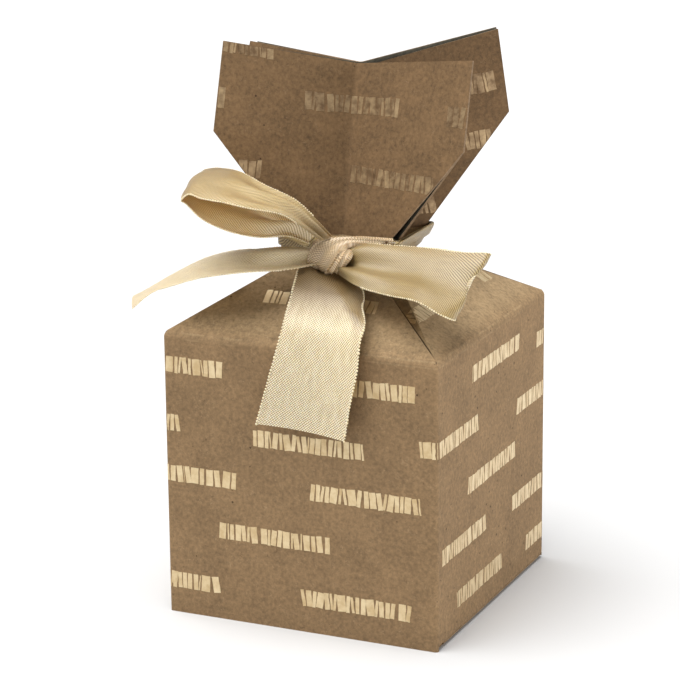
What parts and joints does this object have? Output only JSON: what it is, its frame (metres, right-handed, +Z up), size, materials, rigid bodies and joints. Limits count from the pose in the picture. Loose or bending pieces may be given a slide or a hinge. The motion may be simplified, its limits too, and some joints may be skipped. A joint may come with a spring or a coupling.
{
  "type": "favor box",
  "caption": "Folded card favor box: square body with a tuck-in bottom, sloping shoulders and a neck tied with a ribbon bow under creased petals that splay out.",
  "frame": {"origin": "middle of the base, on the surface that the box stands on", "axes": "+X to the right along the front wall, +Y from the front wall to the back, +Z up"},
  "size_m": [0.0667, 0.0542, 0.0976],
  "materials": {
    "kraft_card": "uncoated kraft card with fine fibres and dark specks, stamped with broken dashes of gold foil",
    "satin_ribbon": "cream satin ribbon with a fine diagonal rib and beaded selvedges",
    "gold_foil": "thin pale gold foil stamp, satin"
  },
  "bodies": {
    "box": {"front_wall": "kraft_card", "right_wall": "kraft_card", "back_wall": "kraft_card", "left_wall": "kraft_card", "glue_flap": "kraft_card", "front_shoulder": "kraft_card", "right_shoulder": "kraft_card", "back_shoulder": "kraft_card", "left_shoulder": "kraft_card", "neck_band": "satin_ribbon", "knot": "satin_ribbon", "bow_loop_left": "satin_ribbon", "bow_loop_right": "satin_ribbon", "tail_front": "satin_ribbon", "tail_left": "satin_ribbon"},
    "bottom": {"base_panel": "kraft_card"},
    "tongue": {"tuck_tongue": "kraft_card"},
    "left_flap": {"dust_flap_left": "kraft_card"},
    "right_flap": {"dust_flap_right": "kraft_card"},
    "petal_front": {"front_petal": "kraft_card"},
    "petal_right": {"right_petal": "kraft_card"},
    "petal_back": {"back_petal": "kraft_card"},
    "petal_left": {"left_petal": "kraft_card"}
  },
  "joints": [
    {"name": "bottom_crease", "type": "hinge", "parent": "box", "child": "bottom", "pos_m": [0, 0.0248, 0.0002], "axis": [1, 0, 0], "range_deg": [0, 120]},
    {"name": "tongue_crease", "type": "hinge", "parent": "bottom", "child": "tongue", "pos_m": [0, -0.02435, 0.0002], "axis": [-1, 0, 0], "range_deg": [0, 40], "stiffness_Nm_per_rad": 0.0005, "springref_deg": -20.05},
    {"name": "left_flap_crease", "type": "hinge", "parent": "box", "child": "left_flap", "pos_m": [-0.0248, 0, 0.00075], "axis": [0, 1, 0], "range_deg": [0, 90]},
    {"name": "right_flap_crease", "type": "hinge", "parent": "box", "child": "right_flap", "pos_m": [0.0248, 0, 0.00075], "axis": [0, -1, 0], "range_deg": [0, 90]},
    {"name": "front_petal_crease", "type": "hinge", "parent": "box", "child": "petal_front", "pos_m": [0.00056, -0.00868, 0.0654], "axis": [0.9924, 0.1233, 0], "range_deg": [0, 5], "stiffness_Nm_per_rad": 0.002, "springref_deg": -5.73},
    {"name": "right_petal_crease", "type": "hinge", "parent": "box", "child": "petal_right", "pos_m": [0.01029, -0.00035, 0.0654], "axis": [0.0345, 0.9994, 0], "range_deg": [0, 25], "stiffness_Nm_per_rad": 0.002, "springref_deg": -5.73},
    {"name": "back_petal_crease", "type": "hinge", "parent": "box", "child": "petal_back", "pos_m": [0.00063, 0.00693, 0.0654], "axis": [-1, 0.0078, 0], "range_deg": [0, 25], "stiffness_Nm_per_rad": 0.002, "springref_deg": -5.73},
    {"name": "left_petal_crease", "type": "hinge", "parent": "box", "child": "petal_left", "pos_m": [-0.00924, -0.00119, 0.0654], "axis": [0, -1, 0], "range_deg": [0, 8], "stiffness_Nm_per_rad": 0.002, "springref_deg": -5.73}
  ],
  "couplings": [
    {"joint": "left_flap_crease", "follows": "bottom_crease", "ratio": 0.75},
    {"joint": "right_flap_crease", "follows": "bottom_crease", "ratio": 0.75}
  ]
}
